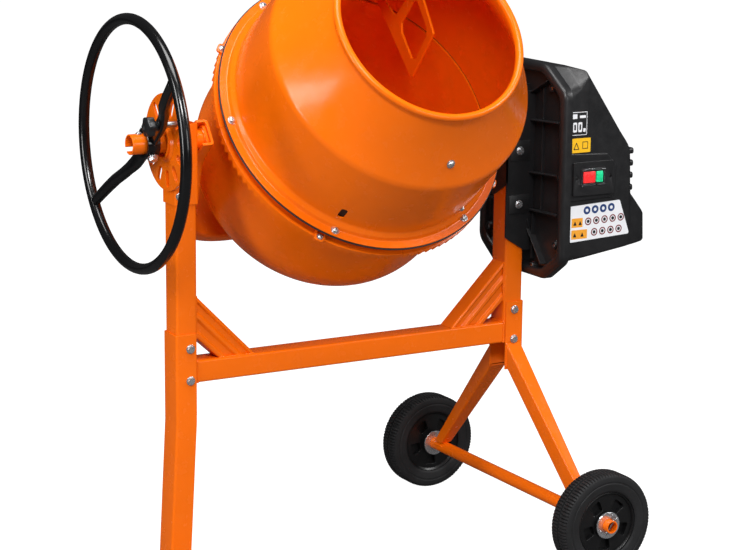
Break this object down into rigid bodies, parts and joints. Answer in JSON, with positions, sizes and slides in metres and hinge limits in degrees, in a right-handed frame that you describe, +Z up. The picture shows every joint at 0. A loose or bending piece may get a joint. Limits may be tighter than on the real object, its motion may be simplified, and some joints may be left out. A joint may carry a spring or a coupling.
{
  "type": "electric concrete mixer",
  "caption": "Orange tilting-drum electric concrete mixer with handwheel tilt and a two-wheeled stand, drum mouth raised.",
  "frame": {"origin": "on the floor, under the middle of the outer box", "axes": "+Z up, -Y the side the drum's mouth faces, +X the motor's side; the tilt axis lies along X"},
  "size_m": [1.04, 0.7515, 1.1979],
  "materials": {
    "orange_paint": "gloss",
    "black_paint": "gloss",
    "black_plastic": "satin",
    "tyre_rubber": "matt",
    "seal_rubber": "matt",
    "zinc": "zinc plated",
    "steel": "machined",
    "aluminium": "cast",
    "red_plastic": "satin",
    "green_plastic": "satin",
    "clear_plastic": "clear"
  },
  "bodies": {
    "stand": {"left_post": "orange_paint", "right_post": "orange_paint", "crossbeam": "orange_paint", "left_brace": "orange_paint", "right_brace": "orange_paint", "left_leg": "orange_paint", "left_foot": "orange_paint", "axle_bracket": "orange_paint", "front_axle_leg": "orange_paint", "rear_axle_leg": "orange_paint", "axle_tube": "orange_paint", "leg_bolt_upper": "zinc", "leg_bolt_lower": "zinc", "axle_bolt_upper": "zinc", "axle_bolt_lower": "zinc", "housing_bolt_upper": "zinc", "housing_bolt_lower": "zinc", "tilt_bracket": "orange_paint", "locking_disc": "orange_paint", "right_bush": "steel", "drive_belt": "seal_rubber", "motor": "aluminium", "housing_tray": "black_plastic", "post_saddle": "black_plastic", "housing_cover": "black_plastic", "switch_plate": "black_plastic", "switch_block": "black_plastic", "power_inlet": "black_plastic", "front_washer": "zinc", "rear_washer": "zinc"},
    "front_wheel": {"front_tyre": "tyre_rubber", "front_rim": "black_plastic"},
    "rear_wheel": {"rear_tyre": "tyre_rubber", "rear_rim": "black_plastic"},
    "cradle": {"yoke": "orange_paint", "left_trunnion": "orange_paint", "right_trunnion": "steel", "spindle_bearing": "steel", "pivot_bolt": "zinc"},
    "tilt_wheel": {"handwheel": "black_paint", "lock_tooth": "steel", "star_knob": "black_plastic"},
    "drum": {"drum_top": "orange_paint", "drum_seal": "seal_rubber", "drum_bowl": "orange_paint", "ring_gear_1": "orange_paint", "ring_gear_2": "orange_paint", "ring_gear_3": "orange_paint", "ring_gear_4": "orange_paint", "paddle_1": "orange_paint", "paddle_2": "orange_paint", "drum_spindle": "steel", "spindle_nut": "zinc"},
    "drive": {"drive_shaft": "steel", "drive_pinion": "steel", "large_pulley": "aluminium"},
    "rotor": {"motor_shaft": "steel"},
    "stop_key": {"stop_button": "red_plastic"},
    "start_key": {"start_button": "green_plastic"},
    "flap": {"switch_flap": "clear_plastic"}
  },
  "joints": [
    {"name": "front_wheel_spin", "type": "hinge", "parent": "stand", "child": "front_wheel", "pos_m": [0.31, -0.29635, 0.1], "axis": [0, 1, 0], "continuous": true},
    {"name": "rear_wheel_spin", "type": "hinge", "parent": "stand", "child": "rear_wheel", "pos_m": [0.31, 0.33765, 0.1], "axis": [0, 1, 0], "continuous": true},
    {"name": "tilt", "type": "hinge", "parent": "stand", "child": "cradle", "pos_m": [-0.069, 0.02065, 0.8377], "axis": [1, 0, 0], "range_deg": [-90, 60]},
    {"name": "wheel_release", "type": "hinge", "parent": "cradle", "child": "tilt_wheel", "pos_m": [-0.479, 0.02065, 0.8377], "axis": [0, 0.5979, 0.8016], "range_deg": [-3, 5]},
    {"name": "drum_spin", "type": "hinge", "parent": "cradle", "child": "drum", "pos_m": [-0.069, 0.02065, 0.8377], "axis": [0, -0.8016, 0.5979], "continuous": true},
    {"name": "drive_spin", "type": "hinge", "parent": "cradle", "child": "drive", "pos_m": [-0.069, 0.02065, 0.8377], "axis": [1, 0, 0], "continuous": true},
    {"name": "motor_spin", "type": "hinge", "parent": "stand", "child": "rotor", "pos_m": [-0.069, 0.02065, 0.655], "axis": [1, 0, 0], "continuous": true},
    {"name": "stop_push", "type": "slide", "parent": "stand", "child": "stop_key", "axis": [0, 1, 0], "range_m": [0, 0.003], "stiffness_N_per_m": 300},
    {"name": "start_push", "type": "slide", "parent": "stand", "child": "start_key", "axis": [0, 1, 0], "range_m": [0, 0.003], "stiffness_N_per_m": 300},
    {"name": "flap_lift", "type": "hinge", "parent": "stand", "child": "flap", "pos_m": [0.387, -0.13265, 0.752], "axis": [-1, 0, 0], "range_deg": [0, 110]}
  ],
  "couplings": [
    {"joint": "drive_spin", "follows": "drum_spin", "ratio": -9},
    {"joint": "motor_spin", "follows": "drum_spin", "ratio": -81}
  ]
}
